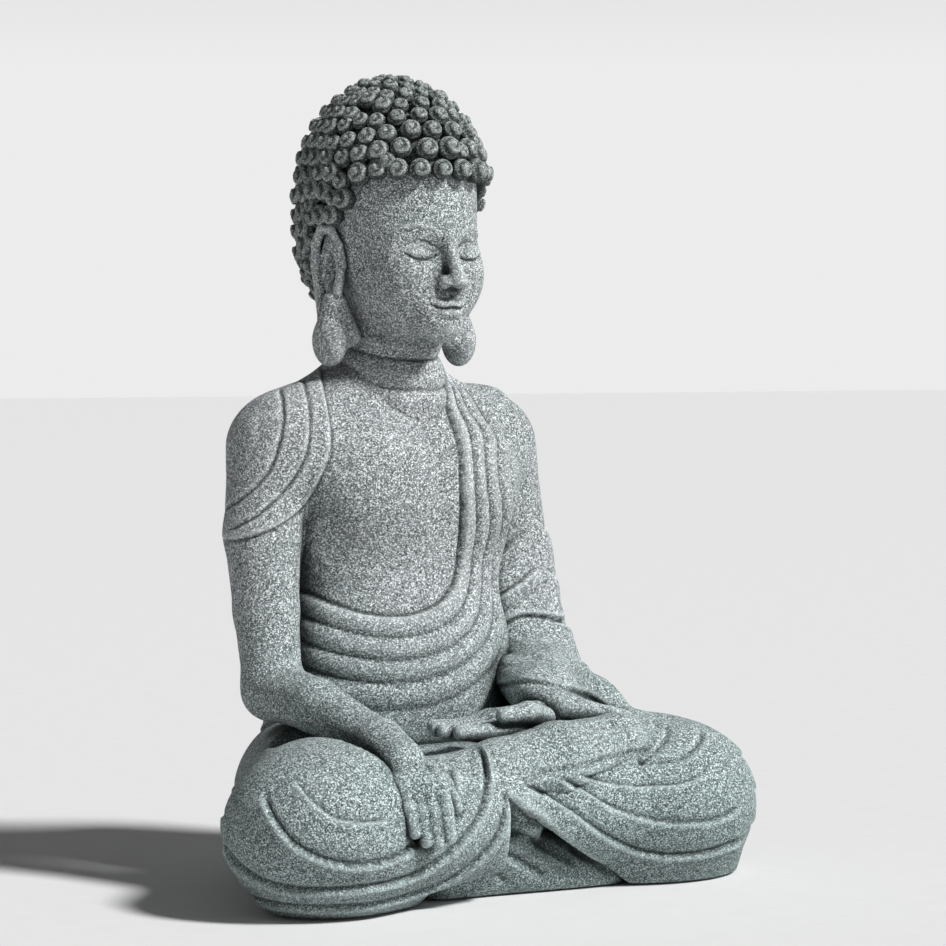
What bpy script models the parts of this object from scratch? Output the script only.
"""A seated buddha statue in speckled cast stone, as sections bonded on steel dowels.

The figure sits with crossed legs, its right hand hanging over the right shin and its left hand
palm up in the lap. Metres, +Z up, front towards -Y, so the figure's right side is at -X. The
origin is on the felt underside, in the middle of the footprint.
"""

import math
from dataclasses import dataclass

import bmesh
import bpy
from mathutils import Matrix, Vector

# Driving dimensions.
SPINE_Y = 0.040  # the neck and spine stand behind the middle of the footprint
SKULL_Z = 0.338  # middle of the skull; the crown of the hair is 62 mm above it
KNEE = (0.0997, -0.049, 0.040)  # middle of the left knee; the right one mirrors it
SHOULDER = (0.0655, 0.046, 0.213)
ELBOW = (0.0810, 0.024, 0.097)
RIGHT_WRIST = (-0.0670, -0.052, 0.0765)
LEFT_WRIST = (0.0400, -0.036, 0.0830)
ARMHOLE_X = 0.056  # the flat joint between an arm and the torso
ARMPIT_Z = 0.172  # the armhole's flat face ends here
WAIST_Z = 0.066  # the flat foot of the torso, sunk in the seat
NECK_Z = 0.229  # the flat foot of the neck, sunk in the torso
GAP = 0.00035  # clearance between two sections that are bonded

FELT_THICK = 0.0024
RIM_Z = 0.0010  # the castings' rim hangs this far above the floor

DOWEL_RADIUS = 0.0040
PIN_RADIUS = 0.0025
DOWEL_SIDES = 16

CLAY_VOXEL = 0.0025
EAR_VOXEL = 0.0014
HAND_VOXEL = 0.0012
SHARP_ANGLE = math.radians(40)
ROOM = 2.2 * GAP  # a neighbour's room is swollen by this, so that thinned skins stay clear of each other
BLOCK_HALF = 0.6  # half the side of a cutting block, far bigger than the figure

# About how many triangles each section is thinned to before it is cut.
TRIANGLES = {
    "seat_casting": 1900,
    "front_apron": 420,
    "crossed_shin": 420,
    "torso_casting": 1100,
    "right_arm": 540,
    "left_arm_sleeve": 620,
    "head_casting": 760,
    "hair_cap": 680,
    "left_ear": 200,
    "right_ear": 200,
    "right_hand": 760,
    "left_hand": 640,
}

STONE = (0.33, 0.37, 0.36)
HAIR_STONE = (0.27, 0.33, 0.31)
STEEL = (0.60, 0.61, 0.62)
FELT_BLACK = (0.03, 0.03, 0.03)


@dataclass
class Ball:
    """An ellipsoid of clay: its middle and its three radii."""

    middle: tuple
    radii: tuple


@dataclass
class Limb:
    """A tapered round-ended roll of clay from one point to another."""

    start: tuple
    end: tuple
    start_radius: float
    end_radius: float


def mirror_point(point):
    """The same point on the other side of the figure."""
    x, y, z = point
    return (-x, y, z)


def mirrored(form):
    """The same form on the other side of the figure."""
    if isinstance(form, Ball):
        return Ball(mirror_point(form.middle), form.radii)
    return Limb(mirror_point(form.start), mirror_point(form.end), form.start_radius, form.end_radius)


# ---------------------------------------------------------------- scene and materials


def clear_scene():
    for obj in list(bpy.data.objects):
        bpy.data.objects.remove(obj, do_unlink=True)


def new_collection(name):
    collection = bpy.data.collections.new(name)
    bpy.context.scene.collection.children.link(collection)
    return collection


def material(name, colour, roughness, metallic):
    made = bpy.data.materials.new(name)
    made.use_nodes = True
    shader = made.node_tree.nodes["Principled BSDF"]
    shader.inputs["Base Color"].default_value = (*colour, 1.0)
    shader.inputs["Roughness"].default_value = roughness
    shader.inputs["Metallic"].default_value = metallic
    return made


# ---------------------------------------------------------------- clay


def add_ball(clay, ball):
    place = Matrix.Translation(ball.middle) @ Matrix.Diagonal((*ball.radii, 1.0))
    bmesh.ops.create_icosphere(clay, subdivisions=3, radius=1.0, matrix=place)


def add_limb(clay, limb):
    start, end = Vector(limb.start), Vector(limb.end)
    along = end - start
    turn = along.to_track_quat("Z", "Y").to_matrix().to_4x4()
    bmesh.ops.create_cone(
        clay,
        cap_ends=True,
        segments=24,
        radius1=limb.start_radius,
        radius2=limb.end_radius,
        depth=along.length,
        matrix=Matrix.Translation((start + end) / 2) @ turn,
    )
    add_ball(clay, Ball(limb.start, (limb.start_radius,) * 3))
    add_ball(clay, Ball(limb.end, (limb.end_radius,) * 3))


def link(obj, collection):
    collection.objects.link(obj)
    return obj


def applied(obj):
    """The object with its modifiers made real, so that later steps can read its mesh."""
    graph = bpy.context.evaluated_depsgraph_get()
    mesh = bpy.data.meshes.new_from_object(obj.evaluated_get(graph))
    obj.modifiers.clear()
    obj.data = mesh
    return obj


def model_clay(name, forms, collection, voxel=CLAY_VOXEL):
    """Forms pressed into one skin by a voxel remesh, smoothed, then thinned to the section's triangles."""
    clay = bmesh.new()
    for form in forms:
        if isinstance(form, Ball):
            add_ball(clay, form)
        else:
            add_limb(clay, form)
    mesh = bpy.data.meshes.new(name)
    clay.to_mesh(mesh)
    clay.free()
    obj = link(bpy.data.objects.new(name, mesh), collection)
    skin = obj.modifiers.new("skin", "REMESH")
    skin.mode = "VOXEL"
    skin.voxel_size = voxel
    smooth = obj.modifiers.new("smooth", "SMOOTH")
    smooth.factor = 0.5
    smooth.iterations = 3
    applied(obj)
    thin = obj.modifiers.new("thin", "DECIMATE")
    thin.ratio = min(1.0, TRIANGLES[name] / (2 * len(obj.data.polygons)))
    return applied(obj)


# ---------------------------------------------------------------- cutters and cuts


def cut(obj, cutter):
    """Cuts one solid out of another; the cutter stays in the file as a hidden wire."""
    boolean = obj.modifiers.new(f"cut_{cutter.name}", "BOOLEAN")
    boolean.operation = "DIFFERENCE"
    boolean.object = cutter
    applied(obj)


def as_cutter(obj):
    obj.hide_render = True
    obj.display_type = "WIRE"
    return obj


def box_cutter(name, low, high, cutters):
    """A box between two corners."""
    low, high = Vector(low), Vector(high)
    bpy.ops.mesh.primitive_cube_add(size=1, location=(low + high) / 2, scale=high - low)
    box = bpy.context.object
    box.name = name
    for collection in list(box.users_collection):
        collection.objects.unlink(box)
    return as_cutter(link(box, cutters))


def half_space(name, point, outward, cutters):
    """A big block whose near face passes through a point, square to a direction."""
    outward = Vector(outward).normalized()
    block = box_cutter(name, (-BLOCK_HALF,) * 3, (BLOCK_HALF,) * 3, cutters)
    block.rotation_mode = "QUATERNION"
    block.rotation_quaternion = outward.to_track_quat("Z", "Y")
    block.location = Vector(point) + outward * BLOCK_HALF
    return block


def cylinder(name, start, end, radius, collection):
    """A round bar between two points."""
    along = end - start
    bpy.ops.mesh.primitive_cylinder_add(
        vertices=DOWEL_SIDES, radius=radius, depth=along.length, location=(start + end) / 2
    )
    bar = bpy.context.object
    bar.name = name
    bar.rotation_mode = "QUATERNION"
    bar.rotation_quaternion = along.to_track_quat("Z", "Y")
    for other in list(bar.users_collection):
        other.objects.unlink(bar)
    return link(bar, collection)


# ---------------------------------------------------------------- the figure's forms


def seat_forms():
    """Thighs, knees and shins, and the hips that the torso sits in."""
    hips = [
        Ball((0, 0.044, 0.042), (0.080, 0.050, 0.046)),
        Ball((0, 0.042, 0.010), (0.072, 0.047, 0.030)),
        Ball((0, -0.004, 0.036), (0.080, 0.036, 0.032)),
        Ball((0, 0.004, 0.010), (0.088, 0.030, 0.022)),
        Limb((-0.070, 0.000, 0.030), (0.070, 0.000, 0.030), 0.028, 0.028),
    ]
    leg = [
        Limb((0.046, 0.036, 0.043), (0.092, -0.036, 0.041), 0.043, 0.040),
        Limb((0.050, 0.030, 0.014), (0.088, -0.034, 0.014), 0.036, 0.030),
        Ball(KNEE, (0.0475, 0.0465, 0.0405)),
        Ball((0.0960, -0.046, 0.018), (0.0390, 0.037, 0.026)),
        Ball((0.0740, -0.040, 0.012), (0.0410, 0.034, 0.028)),
        Limb((0.090, -0.056, 0.036), (0.0, -0.062, 0.038), 0.034, 0.025),
    ]
    skirt_under_left_knee = [
        Ball((0.0985, -0.037, 0.010), (0.0530, 0.041, 0.040)),
        Ball((0.1000, -0.046, 0.030), (0.0480, 0.044, 0.036)),
    ]
    return hips + leg + [mirrored(form) for form in leg] + skirt_under_left_knee


def apron_forms():
    """The hanging front of the robe, gathered on the floor between the knees."""
    return [
        Limb((-0.020, -0.034, 0.010), (0.090, -0.052, 0.010), 0.0175, 0.0155),
        Limb((0.000, -0.040, 0.026), (0.050, -0.052, 0.020), 0.013, 0.012),
    ]


def crossed_shin_forms():
    """The right shin and foot under the robe, crossed over the left thigh."""
    return [
        Limb((-0.016, -0.070, 0.062), (0.040, -0.060, 0.066), 0.017, 0.016),
        Limb((0.040, -0.060, 0.066), (0.094, -0.036, 0.070), 0.016, 0.009),
    ]


def torso_forms():
    """Pelvis, belly, chest and the shoulder girdle."""
    return [
        Ball((0, SPINE_Y + 0.004, 0.080), (0.064, 0.046, 0.040)),
        Ball((0, SPINE_Y - 0.006, 0.116), (0.060, 0.042, 0.048)),
        Ball((0, SPINE_Y + 0.001, 0.176), (0.065, 0.041, 0.058)),
        Limb((-0.054, 0.047, 0.217), (0.054, 0.047, 0.217), 0.025, 0.025),
        Limb((0.056, 0.047, 0.218), (0, 0.045, 0.238), 0.024, 0.027),
        Limb((-0.056, 0.047, 0.218), (0, 0.045, 0.238), 0.024, 0.027),
        Limb((0, 0.047, 0.214), (0, 0.044, 0.246), 0.042, 0.026),
    ]


def head_forms():
    """Neck, jaw, face and skull."""
    return [
        Limb((0, SPINE_Y + 0.002, 0.226), (0, SPINE_Y + 0.002, 0.290), 0.0245, 0.022),
        Ball((0, SPINE_Y - 0.012, 0.302), (0.034, 0.036, 0.042)),
        Ball((0, SPINE_Y - 0.006, 0.322), (0.0375, 0.044, 0.036)),
        Ball((0, SPINE_Y - 0.016, 0.277), (0.022, 0.024, 0.016)),
    ]


def hair_forms():
    """The dome of snail curls, out to the middle of their height, and its edge at the nape."""
    return [
        Ball((0, SPINE_Y - 0.001, SKULL_Z - 0.002), (0.0455, 0.0580, 0.0500)),
        Ball((0, SPINE_Y + 0.001, SKULL_Z + 0.014), (0.0370, 0.0470, 0.0470)),
        Ball((0, SPINE_Y + 0.018, SKULL_Z - 0.028), (0.0380, 0.0360, 0.0300)),
    ]


def ear_forms():
    """A long ear: the upper shell and the heavy hanging lobe."""
    return [
        Limb((0.0395, 0.040, 0.312), (0.0400, 0.038, 0.292), 0.0085, 0.0065),
        Limb((0.0400, 0.038, 0.292), (0.0400, 0.037, 0.270), 0.0060, 0.0070),
        Ball((0.0400, 0.036, 0.268), (0.0070, 0.0085, 0.0110)),
    ]


def right_arm_forms():
    """Shoulder, upper arm and bare forearm, down to the wrist."""
    middle = (-0.0765, 0.036, 0.150)
    return [
        Limb(mirror_point(SHOULDER), middle, 0.0240, 0.0190),
        Limb(middle, mirror_point(ELBOW), 0.0190, 0.0165),
        Limb(mirror_point(ELBOW), RIGHT_WRIST, 0.0155, 0.0105),
        Limb(RIGHT_WRIST, (-0.0655, -0.064, 0.0700), 0.0105, 0.0100),
    ]


def left_arm_forms():
    """Shoulder, sleeved upper arm, and the wide sleeve that spreads over the thigh."""
    middle = (0.0750, 0.040, 0.150)
    elbow = (0.0785, 0.026, 0.100)
    return [
        Limb(SHOULDER, middle, 0.0235, 0.0215),
        Limb(middle, elbow, 0.0215, 0.0230),
        Limb(elbow, (0.046, -0.026, 0.087), 0.0215, 0.0150),
        Limb((0.084, 0.026, 0.088), (0.098, -0.014, 0.072), 0.0200, 0.0140),
    ]


def right_hand_forms():
    """The back of the hand over the knee, four hanging fingers and the thumb."""
    across = Vector((1.0, -0.34, 0.0)).normalized()
    knuckles = Vector((-0.0640, -0.0800, 0.0610))
    tips = Vector((-0.0660, -0.0930, 0.0330))
    spacing = 0.0052
    forms = [
        Limb(RIGHT_WRIST, (-0.0655, -0.070, 0.0690), 0.0105, 0.0095),
        Limb(knuckles - across * 0.006, knuckles + across * 0.006, 0.0070, 0.0070),
        Limb((-0.058, -0.072, 0.067), (-0.0515, -0.084, 0.0540), 0.0050, 0.0034),
    ]
    for index, shorter in enumerate((0.002, 0.0, 0.002, 0.010)):
        side = across * spacing * (index - 1.5)
        tip = tips + side + Vector((0, 0, shorter))
        bend = (knuckles + side) * 0.45 + tip * 0.55 + Vector((0, -0.0025, 0))
        forms.append(Limb(knuckles + side, bend, 0.0040, 0.0032))
        forms.append(Limb(bend, tip, 0.0032, 0.0027))
    return forms


def left_hand_forms():
    """The open palm in the lap, its fingers towards the right and its thumb on top."""
    across = Vector((0.10, -1.0, -0.10)).normalized()
    spacing = 0.0055
    knuckles = Vector((0.010, -0.0400, 0.0800))
    forms = [
        Limb(LEFT_WRIST, (0.020, -0.038, 0.0810), 0.0095, 0.0085),
        Limb(knuckles - across * 0.008, knuckles + across * 0.008, 0.0065, 0.0065),
        Limb((0.024, -0.050, 0.0845), (0.003, -0.0520, 0.0870), 0.0048, 0.0034),
    ]
    for index, shorter in enumerate((0.005, 0.001, 0.0, 0.003)):
        side = across * spacing * (index - 1.5)
        tip = Vector((-0.030 + shorter, -0.0400, 0.0810)) + side
        forms.append(Limb(knuckles + side, tip, 0.0042, 0.0030))
    return forms


# ---------------------------------------------------------------- felt


def felt_outline(margin):
    """The sheet's outline, wide under the knees and narrower behind the hips, grown by a margin."""
    half = [(0.0, -0.028), (0.060, -0.036), (0.100, -0.046), (0.100, -0.018), (0.046, 0.056), (0.0, 0.070)]
    around = [Vector(point) for point in half + [(-x, y) for x, y in reversed(half[1:-1])]]
    for index, point in enumerate(around):
        along = around[(index + 1) % len(around)] - around[index - 1]
        yield point + Vector((along.y, -along.x)).normalized() * margin


def felt_sheet(name, margin, bottom, top, collection):
    """A flat sheet with a smooth outline, between two heights."""
    curve = bpy.data.curves.new(name, "CURVE")
    curve.dimensions = "2D"
    curve.fill_mode = "BOTH"
    curve.extrude = (top - bottom) / 2
    curve.resolution_u = 4
    spline = curve.splines.new("BEZIER")
    outline = list(felt_outline(margin))
    spline.bezier_points.add(len(outline) - 1)
    for point, (x, y) in zip(spline.bezier_points, outline):
        point.co = (x, y, 0)
        point.handle_left_type = point.handle_right_type = "AUTO"
    spline.use_cyclic_u = True
    source = link(bpy.data.objects.new(name + "_outline", curve), collection)
    source.location.z = (bottom + top) / 2
    bpy.context.view_layer.update()
    graph = bpy.context.evaluated_depsgraph_get()
    mesh = bpy.data.meshes.new_from_object(source.evaluated_get(graph))
    sheet = bmesh.new()
    sheet.from_mesh(mesh)
    bmesh.ops.remove_doubles(sheet, verts=sheet.verts, dist=0.00001)
    bmesh.ops.recalc_face_normals(sheet, faces=sheet.faces)
    sheet.to_mesh(mesh)
    sheet.free()
    piece = link(bpy.data.objects.new(name, mesh), collection)
    piece.matrix_world = source.matrix_world
    bpy.data.objects.remove(source)
    return piece


# ---------------------------------------------------------------- assembly


def keep_room(piece, rooms, cutters):
    """Puts by a cutter of a section's own shape, swollen by the bond gap, for its neighbours."""
    room = link(bpy.data.objects.new(f"room_for_{piece.name}", piece.data.copy()), cutters)
    swell = room.modifiers.new("swell", "DISPLACE")
    swell.direction = "NORMAL"
    swell.mid_level = 0.0
    swell.strength = ROOM
    rooms[piece.name] = as_cutter(applied(room))


def dowel(name, start, end, radius, sections, parts, cutters):
    """A steel dowel, and the hole for it in each section that it joins."""
    start, end = Vector(start), Vector(end)
    clearance = (end - start).normalized() * 2 * GAP
    hole = cylinder(f"hole_for_{name}", start - clearance, end + clearance, radius + GAP, cutters)
    as_cutter(hole)
    for section in sections:
        cut(section, hole)
    return cylinder(name, start, end, radius, parts)


def shape_sections(parts, cutters):
    """All the cast sections as they leave their moulds, each with its flat joint face."""
    clay = {
        "seat_casting": model_clay("seat_casting", seat_forms(), parts),
        "front_apron": model_clay("front_apron", apron_forms(), parts),
        "crossed_shin": model_clay("crossed_shin", crossed_shin_forms(), parts),
        "torso_casting": model_clay("torso_casting", torso_forms(), parts),
        "right_arm": model_clay("right_arm", right_arm_forms(), parts),
        "left_arm_sleeve": model_clay("left_arm_sleeve", left_arm_forms(), parts),
        "head_casting": model_clay("head_casting", head_forms(), parts),
        "hair_cap": model_clay("hair_cap", hair_forms(), parts),
        "left_ear": model_clay("left_ear", ear_forms(), parts, EAR_VOXEL),
        "right_ear": model_clay("right_ear", [mirrored(form) for form in ear_forms()], parts, EAR_VOXEL),
        "right_hand": model_clay("right_hand", right_hand_forms(), parts, HAND_VOXEL),
        "left_hand": model_clay("left_hand", left_hand_forms(), parts, HAND_VOXEL),
    }
    wrist_way = Vector((0.0, -1.0, -0.30)).normalized()
    joint_faces = {
        "torso_casting": ((0, 0, WAIST_Z), (0, 0, -1)),
        "head_casting": ((0, 0, NECK_Z), (0, 0, -1)),
        "right_arm": ((-ARMHOLE_X, 0, 0), (1, 0, 0)),
        "left_arm_sleeve": ((ARMHOLE_X, 0, 0), (-1, 0, 0)),
        "right_hand": (Vector(RIGHT_WRIST) + wrist_way * GAP, -wrist_way),
        "seat_casting": ((0, 0, RIM_Z), (0, 0, -1)),
        "front_apron": ((0, 0, RIM_Z), (0, 0, -1)),
    }
    for name, (point, outward) in joint_faces.items():
        cut(clay[name], half_space(f"joint_face_of_{name}", point, outward, cutters))
    cut(clay["right_arm"], half_space("right_wrist_face", RIGHT_WRIST, wrist_way, cutters))
    for side in (-1, 1):
        near = (side * (ARMHOLE_X - GAP), -0.1, ARMPIT_Z)
        far = (side * 0.2, 0.2, 0.4)
        corners = [[pick(pair) for pair in zip(near, far)] for pick in (min, max)]
        cut(clay["torso_casting"], box_cutter(f"armhole_{side}", *corners, cutters))
    return clay


def fit_sections(clay, cutters):
    """Cuts each section back where a neighbour, which keeps its own shape, is bonded to it."""
    makes_room_for = {
        "left_ear": [],
        "right_ear": [],
        "head_casting": ["left_ear", "right_ear"],
        "hair_cap": ["head_casting", "left_ear", "right_ear"],
        "right_arm": [],
        "right_hand": [],
        "left_arm_sleeve": [],
        "left_hand": ["left_arm_sleeve"],
        "torso_casting": ["head_casting", "right_arm", "left_arm_sleeve", "left_hand"],
        "crossed_shin": ["left_hand", "left_arm_sleeve", "right_hand"],
        "front_apron": [],
        "seat_casting": [
            "front_apron",
            "torso_casting",
            "right_arm",
            "right_hand",
            "left_arm_sleeve",
            "left_hand",
            "crossed_shin",
        ],
    }
    rooms = {}
    for name, neighbours in makes_room_for.items():
        for neighbour in neighbours:
            cut(clay[name], rooms[neighbour])
        keep_room(clay[name], rooms, cutters)


def add_dowels(clay, parts, cutters):
    """Steel dowels across every bonded joint that carries weight, and thin pins in the small ones."""
    back = SPINE_Y + 0.004
    bars = {
        "neck_dowel": ((0, back, 0.196), (0, back, 0.272), DOWEL_RADIUS, ("torso_casting", "head_casting")),
        "crown_dowel": ((0, back, 0.324), (0, back, 0.378), PIN_RADIUS, ("head_casting", "hair_cap")),
        "left_wrist_pin": ((0.052, -0.024, 0.086), (0.028, -0.038, 0.082), PIN_RADIUS,
                           ("left_arm_sleeve", "left_hand")),
        "right_wrist_pin": ((-0.0685, -0.036, 0.081), (-0.0662, -0.064, 0.072), PIN_RADIUS,
                            ("right_arm", "right_hand")),
        "shin_pin": ((0.034, -0.056, 0.040), (0.034, -0.056, 0.074), PIN_RADIUS,
                     ("seat_casting", "crossed_shin")),
        "apron_pin": ((0.018, -0.014, 0.017), (0.018, -0.044, 0.017), PIN_RADIUS,
                      ("seat_casting", "front_apron")),
    }
    for word, side in (("left", 1), ("right", -1)):
        arm = "left_arm_sleeve" if side > 0 else "right_arm"
        bars[f"{word}_shoulder_dowel"] = (
            (side * 0.034, SPINE_Y + 0.007, 0.214),
            (side * 0.076, SPINE_Y + 0.007, 0.214),
            DOWEL_RADIUS,
            ("torso_casting", arm),
        )
        bars[f"{word}_waist_dowel"] = (
            (side * 0.028, back, 0.030),
            (side * 0.028, back, 0.106),
            DOWEL_RADIUS,
            ("seat_casting", "torso_casting"),
        )
    return [
        dowel(name, start, end, radius, [clay[joined] for joined in sections], parts, cutters)
        for name, (start, end, radius, sections) in bars.items()
    ]


def dress(pieces, finish):
    """Gives each piece its own material, all of one finish, and a smooth skin."""
    colour, roughness, metallic = finish
    for piece in pieces:
        piece.data.materials.clear()
        piece.data.materials.append(material(piece.name, colour, roughness, metallic))
        piece.data.shade_smooth()
        piece.data.set_sharp_from_angle(angle=SHARP_ANGLE)


def build():
    clear_scene()
    parts = new_collection("buddha_statue")
    cutters = new_collection("cutters")

    clay = shape_sections(parts, cutters)
    fit_sections(clay, cutters)
    bars = add_dowels(clay, parts, cutters)

    felt = felt_sheet("base_felt", 0.0, 0.0, FELT_THICK, parts)
    recess = as_cutter(felt_sheet("felt_recess", 2 * GAP, -FELT_THICK, FELT_THICK + GAP, cutters))
    for name in ("seat_casting", "front_apron"):
        cut(clay[name], recess)

    hair = clay.pop("hair_cap")
    dress(clay.values(), (STONE, 0.95, 0.0))
    dress([hair], (HAIR_STONE, 0.95, 0.0))
    dress(bars, (STEEL, 0.35, 1.0))
    dress([felt], (FELT_BLACK, 1.0, 0.0))


if __name__ == "__main__":
    build()
